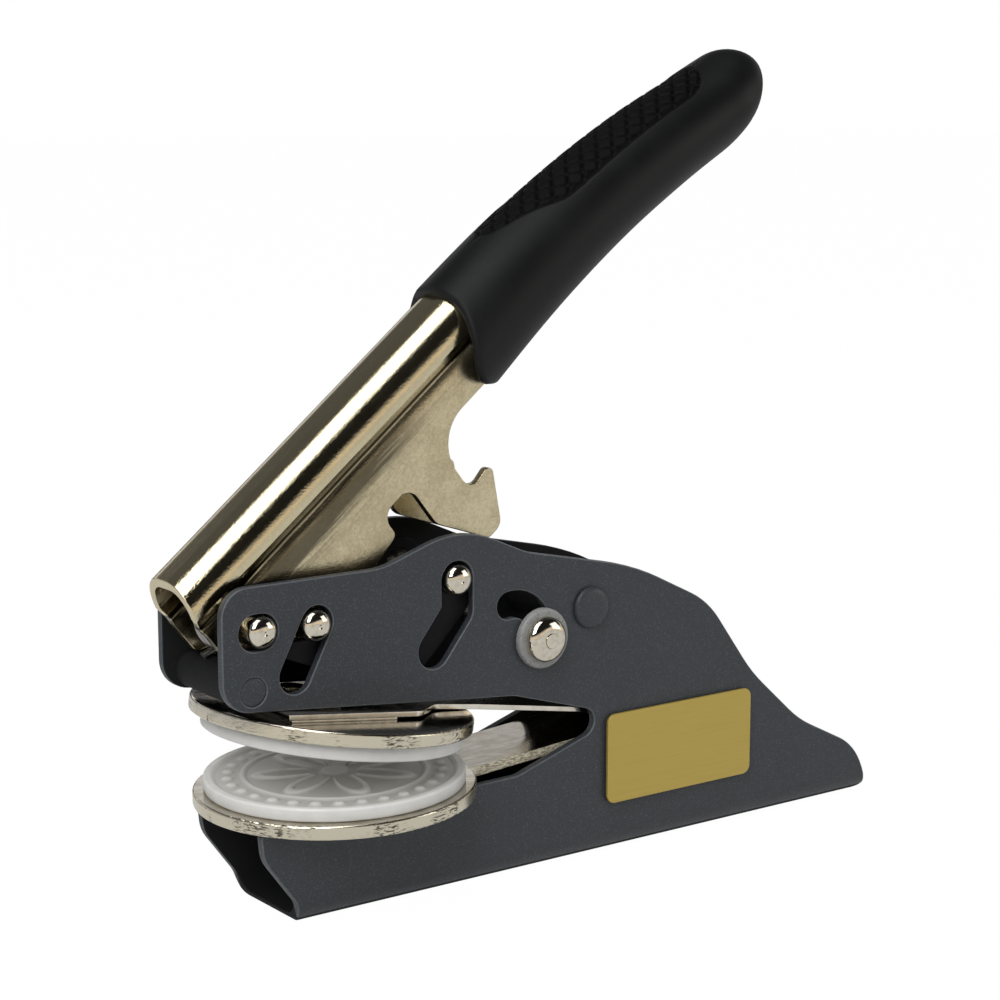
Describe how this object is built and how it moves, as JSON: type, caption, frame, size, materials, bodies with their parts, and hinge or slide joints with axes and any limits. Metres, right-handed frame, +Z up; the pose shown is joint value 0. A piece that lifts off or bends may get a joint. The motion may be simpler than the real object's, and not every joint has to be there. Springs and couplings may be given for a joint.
{
  "type": "seal embosser",
  "caption": "Hand-held seal embosser: folded steel frame, round die set on a spring strip, press bar, lever handle with rubber grip and a lock pin.",
  "frame": {"origin": "centre of the flat underside of the frame's base, in the middle plane", "axes": "+X towards the tail, +Y away from the nameplate side, +Z up from the base to the handle"},
  "size_m": [0.1415, 0.046, 0.1373],
  "materials": {
    "frame_paint": "satin",
    "black_paint": "satin",
    "nickel": "polished",
    "die_plastic": "satin",
    "grip_rubber": "matte",
    "gold_plate": "satin",
    "adhesive": "matte",
    "washer_plastic": "translucent",
    "spring_wire": "bright"
  },
  "bodies": {
    "frame": {"frame": "frame_paint", "front_spacer": "frame_paint", "rear_spacer": "frame_paint", "nameplate_pad": "adhesive", "nameplate": "gold_plate", "lower_die_plate": "nickel", "lower_die": "die_plastic", "insert_rivets": "nickel", "spring_strip": "nickel"},
    "upper_die": {"upper_die_plate": "nickel", "upper_die": "die_plastic", "doubler": "nickel", "clamp_rivets": "nickel"},
    "press": {"press_bar": "black_paint", "press_studs": "nickel"},
    "handle": {"handle_lever": "nickel", "handle_grip": "grip_rubber", "pivot_pin": "nickel", "drive_pin": "nickel", "return_spring": "spring_wire"},
    "lock": {"lock_pin": "nickel", "lock_caps": "nickel", "lock_washers": "washer_plastic"}
  },
  "joints": [
    {"name": "handle_swing", "type": "hinge", "parent": "frame", "child": "handle", "pos_m": [-0.06775, 0, 0.0506], "axis": [0, 1, 0], "range_deg": [0, 29.5], "stiffness_Nm_per_rad": 0.6, "springref_deg": -24.98, "deforming": ["return_spring"]},
    {"name": "press_slide", "type": "slide", "parent": "frame", "child": "press", "axis": [0, 0, -1], "range_m": [0, 0.00495]},
    {"name": "upper_die_flex", "type": "hinge", "parent": "frame", "child": "upper_die", "pos_m": [-0.00765, 0, 0.0266], "axis": [0, -1, 0], "range_deg": [0, 8.5], "deforming": ["spring_strip"]},
    {"name": "lock_swing", "type": "hinge", "parent": "frame", "child": "lock", "pos_m": [-0.01945, 0, 0.0412], "axis": [0, -1, 0], "range_deg": [0, 109.4]}
  ],
  "couplings": [
    {"joint": "press_slide", "follows": "handle_swing", "m_per_rad": 0.0096},
    {"joint": "upper_die_flex", "follows": "handle_swing", "ratio": 0.2881}
  ]
}
